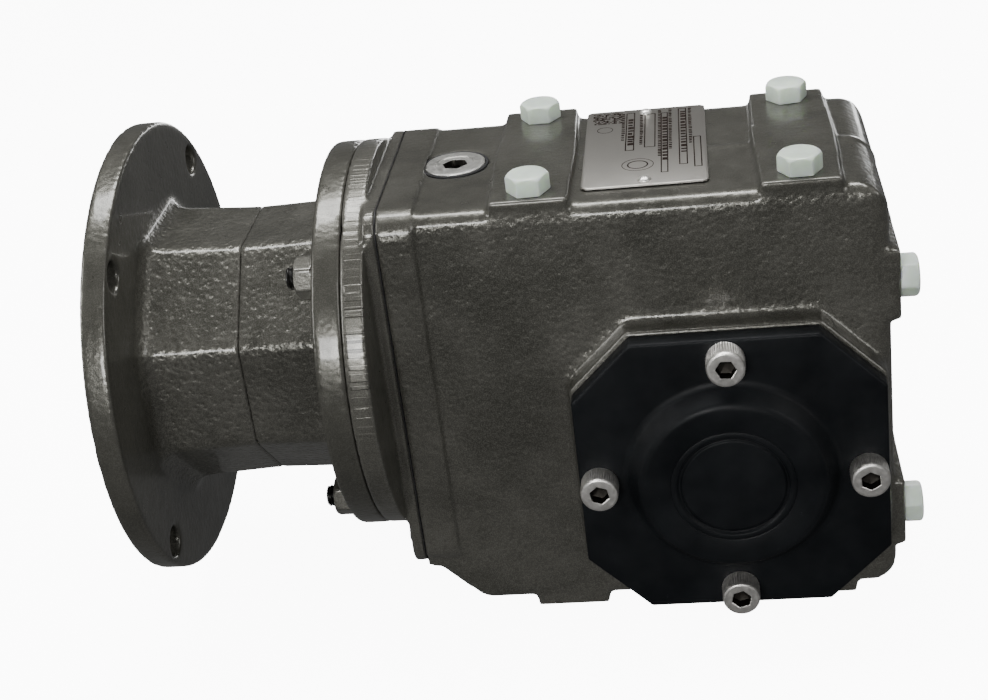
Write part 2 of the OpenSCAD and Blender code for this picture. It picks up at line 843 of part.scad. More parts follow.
// Revolved part of the cover: the dome, with an arc at the foot and at the brow of its sloping
// side, and its flat top with a sunk disc and two ring grooves
module dome_section() {
    top = cover_face_y + dome_h;
    run = dome_base_r - dome_top_r;
    r = (run * sin(dome_slope) - dome_h * cos(dome_slope)) / (2 * (1 - cos(dome_slope)));
    turn = dome_slope / dome_steps;
    polygon(concat(
        [[0, top - disc_sink], [disc_r, top - disc_sink], [disc_r, top - 2 * disc_sink]],
        [[disc_r + 1.4, top - 2 * disc_sink], [disc_r + 1.4, top]],
        [[fine_ring_r, top], [fine_ring_r, top - 0.3]],
        [[fine_ring_r + 0.5, top - 0.3], [fine_ring_r + 0.5, top]],
        [for (i = [0:dome_steps]) let (a = 90 - turn * i)
            [dome_top_r + r * cos(a), top - r + r * sin(a)]],
        [for (i = [0:dome_steps]) let (a = 270 - dome_slope + turn * i)
            [dome_base_r + r * cos(a), cover_face_y + r + r * sin(a)]],
        [[dome_base_r, cover_face_y - CUT], [0, cover_face_y - CUT]]
    ));
}

module output_cover() {
    half = cover_w / 2;
    color("#17181b") scale([1, -1, 1]) difference() {
        union() {
            plate_y(boss_y + cover_gasket_t, cover_face_y - cover_lip)
                octagon(half, oct_side - cover_lip);
            plate_y(cover_face_y - CUT, cover_face_y) octagon(half - 0.5, oct_side - 1);
            on_y() rotate_extrude() dome_section();
        }
        on_y() {
            rod(dome_bore_r, boss_y - CUT, cover_face_y + dome_h - 4.5);
            around(boss_screw_r, 0) rod(M8_R + bolt_gap, boss_y - CUT, cover_face_y + CUT);
        }
    }
}

module cover_gasket() {
    color("#101010") scale([1, -1, 1]) difference() {
        plate_y(boss_y, boss_y + cover_gasket_t) octagon(cover_w / 2 - 1, oct_side - 1.4);
        on_y() {
            rod(output_seat_r + bolt_gap, boss_y - CUT, boss_y + CUT);
            around(boss_screw_r, 0) rod(M8_R + bolt_gap, boss_y - CUT, boss_y + CUT);
        }
    }
}

module cover_screws() {
    color("#c9c9c6") rotate([180, 0, 0]) on_y() around(boss_screw_r, 0)
        translate([0, 0, cover_face_y])
            cap_screw(M8_R, M8_HEAD_R, M8_HEAD_H, M8_SOCKET, cover_screw_l);
}

// ---------------------------------------------------------------- plate and plugs

module nameplate() {
    color("#b5b0a6") translate([plate_centre.x, plate_centre.y, body_top + ridge_h])
        linear_extrude(plate_t) difference() {
            rounded_rect(-plate_size / 2, plate_size / 2, 2.2);
            for (y = [-pin_reach, pin_reach]) translate([0, y]) circle(pin_r);
        }
}

module nameplate_pins() {
    base = body_top + ridge_h + plate_t;
    color("#d8d8d6") for (y = [-pin_reach, pin_reach])
        translate([plate_centre.x, plate_centre.y + y, 0]) rotate_extrude() polygon(concat(
            [[0, body_top], [pin_r - 0.05, body_top], [pin_r - 0.05, base], [pin_head_r, base]],
            [for (a = [10:20:90]) [pin_head_r * cos(a), base + 1.3 * sin(a)]]
        ));
}

// A flush plug with a collar of radius r, its face at h = 0
module oil_plug(r) {
    plug_seat = oil_recess - thread_gap;
    difference() {
        union() {
            rotate_extrude() polygon([
                [0, -plug_seat], [r, -plug_seat], [r, 0.1], [r - HEAD_BEVEL, 0.5], [0, 0.5]
            ]);
            rod(oil_thread_r - thread_gap, -9, -plug_seat + 0.5);
        }
        hexagon(8, 0.5 - SOCKET_DEPTH, 2);
    }
}

module oil_filler_plug() {
    color("#bdbbb4") translate([filler_pos.x, filler_pos.y, body_top]) oil_plug(oil_plug_r);
}

module oil_filler_seal() {
    color("#111111") translate([filler_pos.x, filler_pos.y, body_top])
        ring(oil_plug_r + seat_gap, oil_ring_r, thread_gap - oil_recess, 0.2);
}

module oil_drain_plug() {
    color("#bdbbb4") translate([drain_x, 0, body_bottom]) rotate([180, 0, 0]) oil_plug(oil_plug_r);
}

module oil_level_plug() {
    color("#bdbbb4") translate([level_pos.x, half_w, level_pos.y]) rotate([-90, 0, 0])
        oil_plug(oil_plug_r);
}

// A nylon screw plug: hexagon head above h = 0, shank below
module hole_plug(turn) {
    rotate(turn) hex_body(hex_flats, 6.6, 1.3);
    rod(PLUG_R - thread_gap, -9, 0.5);
}

module top_hole_plugs() {
    color("#eef0e2") translate([left_pad_x + pad_pitch / 2, 0, body_top + pad_h])
        at_corners(pad_pitch, hole_span) hole_plug(30);
}

module end_hole_plugs() {
    color("#eef0e2") for (z = [upper_end_z, lower_end_z])
        translate([body_right + pad_h, -hole_span / 2, z]) rotate([0, 90, 0]) hole_plug(12);
}

// ---------------------------------------------------------------- output shaft

module output_shaft() {
    end = hollow_half;
    color("#9d9d99") difference() {
        on_y() rotate_extrude() polygon([
            [0, -end], [hollow_r - 1, -end], [hollow_r, 1 - end],
            [hollow_r, end - 1], [hollow_r - 1, end], [0, end]
        ]);
        on_y() rod(output_bore_d / 2, -end - CUT, end + CUT);
        translate([-output_key_w / 2, -end - CUT, 0])
            cube([output_key_w, 2 * (end + CUT), output_key_top]);
        for (side = [-1, 1]) scale([1, side, 1])
            on_y() ring(hollow_r - circlip_depth - thread_gap, hollow_r + CUT,
                circlip_y - thread_gap, circlip_y + circlip_t + thread_gap);
        gear_key_space(0);
    }
}

module gear_key_space(gap) {
    key_block(gear_key_at, gear_key, gap);
}

module output_gear() {
    phase = atan2(input_z, mid_x) + 180 / z_output;
    twist = -helical_width * tan(helix) / (z_output * helical_mt / 2) * RAD;
    color("#8f8e88") difference() {
        union() {
            translate([0, helical_face_y, 0]) rotate([90, 0, 0])
                linear_extrude(helical_width, twist = twist, slices = 2)
                    polygon(helical_outline(z_output, -helical_shift, phase));
            on_y() rod(gear_hub_r, -seat_inner_y, helical_face_y + 1);
        }
        on_y() {
            rod(hollow_r, -40, 10);
            ring(gear_recess[0], gear_recess[1], helical_face_y - 5, helical_face_y + CUT);
            ring(gear_recess[0], gear_recess[1], -seat_inner_y - CUT, helical_face_y - 15);
        }
        gear_key_space(0);
    }
}

module output_gear_key() {
    color("#77766f") gear_key_space(seat_gap);
}

module output_spacer() {
    color("#8f8e88") on_y() ring(hollow_r + seat_gap, spacer_r, helical_face_y + 1, seat_inner_y);
}

module output_shaft_circlips() {
    color("#4a4a48") for (side = [-1, 1]) scale([1, side, 1]) on_y() difference() {
        ring(hollow_r - circlip_depth, circlip_r, circlip_y, circlip_y + circlip_t);
        translate([18, -3, circlip_y - CUT]) cube([8, 6, circlip_t + 2 * CUT]);
    }
}

module output_retaining_rings() {
    color("#4a4a48") for (side = [-1, 1]) scale([1, side, 1]) on_y() difference() {
        ring(29.5, output_seat_r + retainer_groove - 0.1,
            retainer_y + thread_gap, retainer_y + retainer_t);
        translate([26, -5, retainer_y - CUT]) cube([12, 10, retainer_t + 2 * CUT]);
    }
}

module output_shaft_seals() {
    lip_r = hollow_r + 0.05;
    color("#3b2a22") for (side = [-1, 1]) scale([1, side, 1]) on_y() rotate_extrude() polygon([
        [output_seat_r - seat_gap, seal_y], [output_seat_r - seat_gap, boss_y - 0.3],
        [output_seat_r - 1, boss_y - 0.1], [24, boss_y - 0.1], [lip_r, boss_y - 1.5],
        [22.5, boss_y - 2.2], [22, boss_y - 4], [lip_r, seal_y + 0.8], [23.5, seal_y],
        [25, boss_y - 2], [30.5, boss_y - 2], [30.5, seal_y]
    ]);
}

module output_bearing_outer_rings() {
    color("#c4c4c2") at_output_bearings() outer_ring(OUTPUT_BRG);
}

module output_bearing_inner_rings() {
    color("#c4c4c2") at_output_bearings() inner_ring(OUTPUT_BRG);
}

module output_bearing_balls() {
    color("#e2e2e2") at_output_bearings() balls(OUTPUT_BRG);
}

module output_bearing_cages() {
    color("#b08d57") at_output_bearings() cage(OUTPUT_BRG);
}

// ---------------------------------------------------------------- intermediate shaft

module wheel_key_space(gap) {
    key_block(wheel_key_at, wheel_key, gap);
}

module intermediate_shaft() {
    phase = atan2(-input_z, -mid_x);
    twist = helical_width * tan(helix) / (z_helical_pinion * helical_mt / 2) * RAD;
    seat = MID_BRG[0] / 2;
    end_y = seat_inner_y + MID_BRG[2] - 0.2;
    color("#9a9993") difference() {
        union() {
            translate([mid_x, helical_face_y, input_z]) rotate([90, 0, 0])
                linear_extrude(helical_width, twist = twist, slices = 4)
                    polygon(helical_outline(z_helical_pinion, helical_shift, phase));
            on_y(mid_x, input_z) rotate_extrude() polygon([
                [0, -end_y], [seat - 0.6, -end_y], [seat, -end_y + 0.6], [seat, -seat_inner_y],
                [wheel_seat_r + 1, -seat_inner_y], [wheel_seat_r + 1, 8], [wheel_seat_r, 8],
                [wheel_seat_r, seat_inner_y], [seat, seat_inner_y],
                [seat, end_y - 0.6], [seat - 0.6, end_y], [0, end_y]
            ]);
        }
        wheel_key_space(0);
    }
}

module bevel_wheel() {
    color("#8c8a82") difference() {
        union() {
            on_y(mid_x, input_z) {
                rod(16, 9, seat_inner_y);
                rod(25, 17, 21);
            }
            on_y(mid_x, input_z) bevel_gear(z_bevel_wheel, wheel_cone, -bevel_shift,
                180 + 180 / z_bevel_wheel, -1, 29, 19, 12);
        }
        on_y(mid_x, input_z) rod(wheel_seat_r, -5, 40);
        wheel_key_space(0);
    }
}

module bevel_wheel_key() {
    color("#77766f") wheel_key_space(seat_gap);
}

module intermediate_bearing_outer_rings() {
    color("#c4c4c2") at_mid_bearings() outer_ring(MID_BRG);
}

module intermediate_bearing_inner_rings() {
    color("#c4c4c2") at_mid_bearings() inner_ring(MID_BRG);
}

module intermediate_bearing_balls() {
    color("#e2e2e2") at_mid_bearings() balls(MID_BRG);
}

module intermediate_bearing_cages() {
    color("#b08d57") at_mid_bearings() cage(MID_BRG);
}

// ---------------------------------------------------------------- input shaft

module coupling_key_space(gap) {
    key_block(coupling_key_at, coupling_key_size, gap);
}

module bevel_pinion_shaft() {
    seat = PINION_BRG[0] / 2;
    shoulder_x = pinion_brg_x[1] + PINION_BRG[2];
    color("#9a9993") difference() {
        union() {
            // The apex of the pinion's cone is where the input axis meets the intermediate axis
            translate([mid_x, 0, input_z]) rotate([0, -90, 0])
                bevel_gear(z_bevel_pinion, pinion_cone, bevel_shift, 90, 1, 12.5, 34, 20);
            on_input() rotate_extrude() polygon([
                [0, shaft_end_x], [coupling_bore_r - 0.6, shaft_end_x],
                [coupling_bore_r, shaft_end_x + 0.6], [coupling_bore_r, -138.5],
                [seal_seat_r, -138.5], [seal_seat_r, -129], [seat, -129],
                [seat, shoulder_x], [sleeve_r, shoulder_x], [11, -79], [9, -76], [0, -76]
            ]);
        }
        coupling_key_space(0);
    }
}

module pinion_bearing_spacer() {
    color("#8f8e88") on_input()
        ring(PINION_BRG[0] / 2 + seat_gap, sleeve_r,
            pinion_brg_x[0] + PINION_BRG[2], pinion_brg_x[1]);
}

module pinion_locknut() {
    h1 = pinion_brg_x[0];
    color("#55544f") on_input() difference() {
        ring(PINION_BRG[0] / 2 + seat_gap, locknut_r, h1 - locknut_t, h1);
        around(locknut_r - 1, 0) translate([0, 0, h1 - locknut_t / 2])
            cube([5, 4, locknut_t + 2 * CUT], center = true);
    }
}

module input_seal() {
    outer_r = PINION_BRG[1] / 2 - seat_gap;
    lip_r = seal_seat_r + thread_gap;
    x0 = input_seal_x;
    x1 = x0 + seal_w;
    color("#3b2a22") on_input() rotate_extrude() polygon([
        [outer_r, x0 + 0.3], [outer_r - 0.5, x0], [12, x0], [lip_r, x0 + 1.5], [10.5, x0 + 2.2],
        [10, x0 + 4], [lip_r, x1 - 0.8], [11.5, x1], [12.5, x0 + 2], [20, x0 + 2], [20, x1],
        [outer_r, x1]
    ]);
}

module pinion_bearing_outer_rings() {
    color("#c4c4c2") at_pinion_bearings() outer_ring(PINION_BRG);
}

module pinion_bearing_inner_rings() {
    color("#c4c4c2") at_pinion_bearings() inner_ring(PINION_BRG);
}

module pinion_bearing_balls() {
    color("#e2e2e2") at_pinion_bearings() balls(PINION_BRG);
}

module pinion_bearing_cages() {
    color("#b08d57") at_pinion_bearings() cage(PINION_BRG);
}

// ---------------------------------------------------------------- coupling

// A 2D sector of a ring, centred on angle mid
module sector(r_in, r_out, mid, angle) {
    intersection() {
        difference() {
            circle(r_out);
            circle(r_in);
        }
        rotate(mid) polygon([
            [0, 0], 2 * r_out * [cos(angle / 2), -sin(angle / 2)],
            2 * r_out * [cos(angle / 2), sin(angle / 2)]
        ]);
    }
}

// Three jaws between x0 and x1, the first centred on the angle start
module jaws(start, x0, x1) {
    for (k = [0:2]) translate([0, 0, x0]) linear_extrude(x1 - x0)
        sector(jaw_inner_r, coupling_r, start + 120 * k, jaw_angle);
}

module gearbox_coupling_hub() {
    color("#a9a9a6") difference() {
        on_input() difference() {
            union() {
                rod(coupling_r, jaw_x1, gear_hub_x);
                jaws(0, jaw_x0 + jaw_gap, jaw_x1 + CUT);
            }
            rod(coupling_bore_r, jaw_x0, gear_hub_x + CUT);
        }
        coupling_key_space(0);
    }
}

module motor_coupling_hub() {
    color("#a9a9a6") difference() {
        on_input() difference() {
            union() {
                rod(coupling_r, motor_hub_x, jaw_x0);
                jaws(60, jaw_x0 - CUT, jaw_x1 - jaw_gap);
            }
            rod(motor_shaft_d / 2, motor_hub_x - CUT, jaw_x1);
        }
        // Clamp slit, and the keyway of the motor shaft opposite it
        translate([motor_hub_x - CUT, -clamp_slit[1] / 2, input_z - coupling_r - CUT])
            cube([clamp_slit[0], clamp_slit[1], coupling_r + CUT]);
        translate([motor_hub_x - CUT, -motor_key[0] / 2, input_z])
            cube([jaw_x1 - motor_hub_x + CUT, motor_key[0], motor_key[1]]);
        translate(clamp_screw_at) rotate([90, 0, 0]) {
            rod(M6_R, -coupling_r, coupling_r);
            rod(M6_HEAD_R + clearance_r, clamp_seat, coupling_r);
        }
    }
}

module coupling_clamp_screw() {
    color("#3a3a3a") translate(clamp_screw_at) translate([0, -clamp_seat, 0]) rotate([90, 0, 0])
        cap_screw(M6_R, M6_HEAD_R, M6_HEAD_H, M6_SOCKET, 20);
}

module coupling_spider() {
    color("#a3372b") on_input() translate([0, 0, jaw_x0 + 0.1])
        linear_extrude(jaw_x1 - jaw_x0 - 0.2) {
            difference() {
                circle(spider_ring[1]);
                circle(spider_ring[0]);
            }
            for (k = [0:5]) sector(spider_ring[1] - 1, coupling_r - 1, 30 + 60 * k, arm_angle);
        }
}

module coupling_key() {
    color("#77766f") coupling_key_space(seat_gap);
}

gear_housing();
pinion_housing();
coupling_housing();
motor_adapter();
housing_gasket();
housing_screws();
housing_dowels();
adapter_studs();
adapter_nuts();
adapter_o_ring();
hub_joint_screws();
output_cover();
cover_screws();
cover_gasket();
nameplate();
nameplate_pins();
oil_filler_plug();
oil_filler_seal();
oil_drain_plug();
oil_level_plug();
top_hole_plugs();
end_hole_plugs();
bearing_closing_cap();
output_shaft();
output_gear();
output_gear_key();
output_spacer();
output_shaft_circlips();
output_retaining_rings();
output_shaft_seals();
output_bearing_outer_rings();
output_bearing_inner_rings();
output_bearing_balls();
output_bearing_cages();
intermediate_shaft();
bevel_wheel();
bevel_wheel_key();
intermediate_bearing_outer_rings();
intermediate_bearing_inner_rings();
intermediate_bearing_balls();
intermediate_bearing_cages();
bevel_pinion_shaft();
pinion_bearing_spacer();
pinion_locknut();
input_seal();
pinion_bearing_outer_rings();
pinion_bearing_inner_rings();
pinion_bearing_balls();
pinion_bearing_cages();
gearbox_coupling_hub();
motor_coupling_hub();
coupling_spider();
coupling_key();
coupling_clamp_screw();
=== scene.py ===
"""The looks of a right-angle bevel gearbox: its castings, fasteners, plate, paint and studio."""

import math
import random

import bmesh
import bpy
import numpy as np
from mathutils import Matrix, Vector


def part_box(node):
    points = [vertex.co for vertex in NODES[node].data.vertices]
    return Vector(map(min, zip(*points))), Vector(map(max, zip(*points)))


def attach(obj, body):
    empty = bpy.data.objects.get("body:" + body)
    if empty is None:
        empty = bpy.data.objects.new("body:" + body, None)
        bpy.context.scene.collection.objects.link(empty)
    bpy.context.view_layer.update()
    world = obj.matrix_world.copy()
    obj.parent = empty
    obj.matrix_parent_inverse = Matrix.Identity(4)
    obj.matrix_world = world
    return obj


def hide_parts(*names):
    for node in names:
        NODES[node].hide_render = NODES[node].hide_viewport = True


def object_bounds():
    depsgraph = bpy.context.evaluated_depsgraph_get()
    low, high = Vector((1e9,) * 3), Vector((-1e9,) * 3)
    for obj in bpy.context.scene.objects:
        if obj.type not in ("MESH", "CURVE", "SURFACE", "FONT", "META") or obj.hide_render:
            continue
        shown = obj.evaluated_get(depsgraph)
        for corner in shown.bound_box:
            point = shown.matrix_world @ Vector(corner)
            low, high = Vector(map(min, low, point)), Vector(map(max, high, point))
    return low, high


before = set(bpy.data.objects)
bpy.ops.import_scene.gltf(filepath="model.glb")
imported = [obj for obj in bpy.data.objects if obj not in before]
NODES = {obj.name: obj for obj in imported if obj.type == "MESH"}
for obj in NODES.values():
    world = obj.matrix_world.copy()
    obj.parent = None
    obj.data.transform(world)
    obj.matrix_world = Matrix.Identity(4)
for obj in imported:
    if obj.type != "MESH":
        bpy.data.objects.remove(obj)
cad_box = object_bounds()

MM = 0.001
VOXEL = 0.85 * MM
CASTING_TRIANGLES = 190_000
INPUT_Z = 35 * MM  # height of the input axis above the output axis
SKY_BELOW, SKY_ABOVE = 0.125, 0.085
FLOOR_GLOW = 10.0


# ---------------------------------------------------------------- materials


class Recipe:
    """A node material: a Principled shader with helpers that feed its sockets."""

    def __init__(self, name, metallic=0.0, **sockets):
        self.mat = bpy.data.materials.new(name)
        self.mat.use_nodes = True
        self.tree = self.mat.node_tree
        self.shader = self.tree.nodes["Principled BSDF"]
        self.shader.inputs["Metallic"].default_value = metallic
        for socket, value in sockets.items():
            self.shader.inputs[socket.replace("_", " ")].default_value = value
        self.coords = self.add("ShaderNodeTexCoord").outputs["Object"]
        self.normal = None

    def add(self, kind, **values):
        node = self.tree.nodes.new(kind)
        for key, value in values.items():
            setattr(node, key, value)
        return node

    def link(self, source, target):
        self.tree.links.new(source, target)

    def stretched(self, scale):
        """Object coordinates, scaled differently along each axis."""
        node = self.add("ShaderNodeMapping")
        node.inputs["Scale"].default_value = scale
        self.link(self.coords, node.inputs["Vector"])
        return node.outputs["Vector"]

    def noise(self, per_metre, detail=3.0, roughness=0.55, coords=None):
        node = self.add("ShaderNodeTexNoise")
        node.inputs["Scale"].default_value = per_metre
        node.inputs["Detail"].default_value = detail
        node.inputs["Roughness"].default_value = roughness
        self.link(coords or self.coords, node.inputs["Vector"])
        return node.outputs["Fac"]

    def cells(self, per_metre):
        node = self.add("ShaderNodeTexVoronoi", feature="SMOOTH_F1")
        node.inputs["Scale"].default_value = per_metre
        node.inputs["Smoothness"].default_value = 0.8
        self.link(self.coords, node.inputs["Vector"])
        return node.outputs["Distance"]

    def ramp(self, source, low, high, to_low=0.0, to_high=1.0):
        """Stretches source from low..high to to_low..to_high, clamped."""
        node = self.add("ShaderNodeMapRange")
        for socket, value in zip(
            ("From Min", "From Max", "To Min", "To Max"), (low, high, to_low, to_high)
        ):
            node.inputs[socket].default_value = value
        self.link(source, node.inputs["Value"])
        return node.outputs["Result"]

    def maths(self, operation, a, b):
        node = self.add("ShaderNodeMath", operation=operation)
        for socket, value in zip(node.inputs, (a, b)):
            if isinstance(value, (int, float)):
                socket.default_value = value
            else:
                self.link(value, socket)
        return node.outputs["Value"]

    def mix(self, factor, a, b):
        """Mixes two colours; each is an RGB triple or a socket."""
        node = self.add("ShaderNodeMix", data_type="RGBA", blend_type="MIX")
        if isinstance(factor, (int, float)):
            node.inputs["Factor"].default_value = factor
        else:
            self.link(factor, node.inputs["Factor"])
        for socket, value in ((node.inputs[6], a), (node.inputs[7], b)):
            if isinstance(value, tuple):
                socket.default_value = (*value, 1.0)
            else:
                self.link(value, socket)
        return node.outputs[2]

    def colour(self, source):
        self.link(source, self.shader.inputs["Base Color"])

    def rough(self, source, low, high):
        self.link(
            self.ramp(source, 0.3, 0.7, low, high), self.shader.inputs["Roughness"]
        )

    def bump(self, source, height_mm):
        """Adds a layer of relief; layers stack in the order they're added."""
        node = self.add("ShaderNodeBump")
        node.inputs["Strength"].default_value = 1.0
        node.inputs["Distance"].default_value = height_mm * MM
        self.link(source, node.inputs["Height"])
        if self.normal is not None:
            self.link(self.normal, node.inputs["Normal"])
        self.normal = node.outputs["Normal"]
        self.link(self.normal, self.shader.inputs["Normal"])

    # A pointiness mask for the painted highlight that paint() lays on convex edges.
    def edge_highlight_mask(self):
        """0 on flats, 1 on the most exposed edges."""
        geometry = self.add("ShaderNodeNewGeometry").outputs["Pointiness"]
        return self.ramp(geometry, 0.52, 0.6)


def from_input_axis(r):
    """Radius from the input axis, angle from the top (positive towards +Y), and X."""
    split = r.add("ShaderNodeSeparateXYZ")
    r.link(r.coords, split.inputs["Vector"])
    y, z = split.outputs["Y"], r.maths("SUBTRACT", split.outputs["Z"], INPUT_Z)
    squares = r.maths("ADD", r.maths("MULTIPLY", y, y), r.maths("MULTIPLY", z, z))
    return r.maths("SQRT", squares, 0), r.maths("ARCTAN2", y, z), split.outputs["X"]


def paint(name, relief, peel_size, calm_beyond=None, calm_above=None, marks=None):
    """Bronze-grey metallic machine paint. relief is the sand-cast height in mm.

    The relief fades beyond calm_beyond mm from the input axis, where a flange was turned,
    and above the height calm_above in mm.
    """
    r = Recipe(name, metallic=0.55, Coat_Weight=0.5, Coat_Roughness=0.10)
    dark, light = (0.062, 0.061, 0.050), (0.124, 0.121, 0.104)
    # The second colour on this line is a painted highlight: a pale grey laid on convex edges,
    # standing in for the light they catch.
    flake, painted_edge_highlight = (0.30, 0.29, 0.26), (0.30, 0.29, 0.27)
    fade, calm = 3, 0.25
    cloud = r.ramp(r.noise(38, 4.0), 0.35, 0.68)
    flakes = r.ramp(r.noise(2600, 1.0), 0.45, 0.62)
    dimples = r.ramp(r.cells(1000 / peel_size), 0.05, 0.75)
    peel = r.mix(0.42, dimples, r.noise(700 / peel_size, 1.0, 0.4))
    fine = r.noise(2600 / peel_size, 2.0, 0.5)
    if calm_beyond or calm_above:
        if calm_beyond:
            measure, start = from_input_axis(r)[0], calm_beyond
        else:
            split = r.add("ShaderNodeSeparateXYZ")
            r.link(r.coords, split.inputs["Vector"])
            measure, start = split.outputs["Z"], calm_above
        share = r.ramp(measure, start * MM, (start + fade) * MM, 1.0, calm)
        peel = r.maths("MULTIPLY", peel, share)
        fine = r.maths("MULTIPLY", fine, share)
    base = r.mix(cloud, dark, light)
    base = r.mix(r.maths("MULTIPLY", flakes, 0.30), base, flake)
    # Painted shade: the dimples of the orange peel are darkened towards the dark tone, more so
    # where the relief is higher.
    peel_shade = r.ramp(peel, 0.48, 0.30)
    base = r.mix(r.maths("MULTIPLY", peel_shade, min(0.5, relief * 2.2)), base, dark)
    # Painted highlight: convex edges are lightened towards that pale grey.
    base = r.mix(r.maths("MULTIPLY", r.edge_highlight_mask(), 0.4), base, painted_edge_highlight)
    r.colour(base)
    r.rough(r.noise(160, 5.0), 0.27, 0.40)
    r.bump(r.noise(75, 2.0), 0.4 * relief + 0.04)
    r.bump(peel, 2.1 * relief)
    r.bump(fine, 0.5 * relief + 0.01)
    if marks:
        marks(r)
    return r.mat


def turned_marks(r):
    """Cross marks of coarse turning on a disc's rim: one clear patch, faint elsewhere."""
    marks_per_radian = 26.0
    radius, angle, x = from_input_axis(r)
    rim = r.ramp(radius, 69.2 * MM, 69.6 * MM)
    band = r.maths("MULTIPLY", rim, r.ramp(x, -122.6 * MM, -122.0 * MM))
    steps = r.add("ShaderNodeTexNoise", noise_dimensions="1D")
    steps.inputs["Scale"].default_value = marks_per_radian
    steps.inputs["Detail"].default_value = 1.0
    r.link(angle, steps.inputs["W"])
    bars = r.ramp(steps.outputs["Fac"], 0.47, 0.53)
    patch_start = r.ramp(angle, math.radians(-84), math.radians(-80))
    patch_end = r.ramp(angle, math.radians(-50), math.radians(-54))
    patch = r.maths("MULTIPLY", patch_start, patch_end)
    shown = r.ramp(patch, 0, 1, 0.18, 1.0)
    r.bump(r.maths("MULTIPLY", r.maths("MULTIPLY", bars, band), shown), 0.35)


def metal(name, colour, rough, variation=0.2, brushed=None, grain=600, relief=0.008):
    """Bare metal. brushed stretches the grain along an axis: a scale per axis."""
    r = Recipe(name, metallic=1.0)
    dark = tuple(c * (1 - variation) for c in colour)
    coords = r.stretched(brushed) if brushed else None
    grains = r.noise(grain, 4.0, 0.6, coords)
    r.colour(r.mix(r.ramp(grains, 0.3, 0.7), dark, colour))
    r.rough(r.noise(grain * 1.3, 3.0, 0.6, coords), rough * 0.8, min(1.0, rough * 1.25))
    r.bump(grains, relief)
    return r.mat


def moulded(name, colour, rough, relief=0.02, grain=900, specks=None, **sockets):
    """Moulded rubber or plastic, with fine grain and a few scuffs."""
    r = Recipe(name, **sockets)
    lighter = tuple(min(1.0, c * 1.5 + 0.004) for c in colour)
    cloud = r.ramp(r.noise(55, 4.0), 0.35, 0.7)
    base = r.mix(cloud, colour, lighter)
    if specks:
        scuffs = r.ramp(r.noise(260, 6.0, 0.7), 0.68, 0.74)
        base = r.mix(scuffs, base, specks)
    r.colour(base)
    r.rough(r.noise(120, 4.0), rough * 0.85, min(1.0, rough * 1.2))
    r.bump(r.noise(grain, 3.0), relief)
    return r.mat


PAINT_ROUGH = paint("paint_cast", 0.14, 1.9, calm_above=93.5)
PAINT_SMOOTH = paint("paint_machined", 0.03, 1.9)
PAINT_HUB = paint("paint_hub", 0.20, 1.9, calm_beyond=52)
PAINT_RIM = paint("paint_rim", 0.03, 1.9, marks=turned_marks)
COVER = moulded(
    "cover_coating", (0.0022, 0.0030, 0.0040), 0.50, 0.015, 700, (0.03, 0.035, 0.04),
    Specular_IOR_Level=0.2,
)
STAINLESS = metal("stainless", (0.86, 0.84, 0.80), 0.42, 0.2)
STEEL_GROUND = metal("steel_ground", (0.50, 0.49, 0.47), 0.30, 0.2)
STEEL_DARK = metal("steel_dark", (0.14, 0.135, 0.13), 0.42, 0.35)
STEEL_BLACK = metal("steel_black", (0.085, 0.084, 0.082), 0.34, 0.4)
STEEL_GEAR = metal("steel_gear", (0.30, 0.29, 0.27), 0.34, 0.25)
STEEL_BEARING = metal("steel_bearing", (0.66, 0.66, 0.66), 0.16, 0.1)
PLATE = metal("plate_aluminium", (0.42, 0.405, 0.375), 0.40, 0.10, (1, 40, 1), 400, 0.002)
PLUG_STEEL = metal("plug_steel", (0.80, 0.79, 0.75), 0.38, 0.2)
# Painted shade: near-black steel for the walls and floor of hexagon sockets, darker than the screw
# or plug around them, standing in for the shade in the recess.
SOCKET_SHADE = metal("socket_painted_shade", (0.05, 0.046, 0.040), 0.5, 0.4)
ALLOY = metal("coupling_alloy", (0.55, 0.55, 0.56), 0.34, 0.15)
BRASS = metal("cage_brass", (0.60, 0.42, 0.18), 0.32, 0.25)
RUBBER_BLACK = moulded("rubber_black", (0.010, 0.010, 0.011), 0.55)
RUBBER_BROWN = moulded("rubber_brown", (0.030, 0.020, 0.016), 0.5)
SPIDER_RED = moulded("spider_red", (0.32, 0.03, 0.02), 0.45)
PRINT = moulded("plate_print", (0.012, 0.007, 0.005), 0.7, Specular_IOR_Level=0.1)
NYLON = moulded(
    "nylon", (0.56, 0.64, 0.56), 0.32, 0.015, 400,
    Subsurface_Weight=0.55, Subsurface_Radius=(0.004, 0.0045, 0.003), Subsurface_Scale=1.0,
)

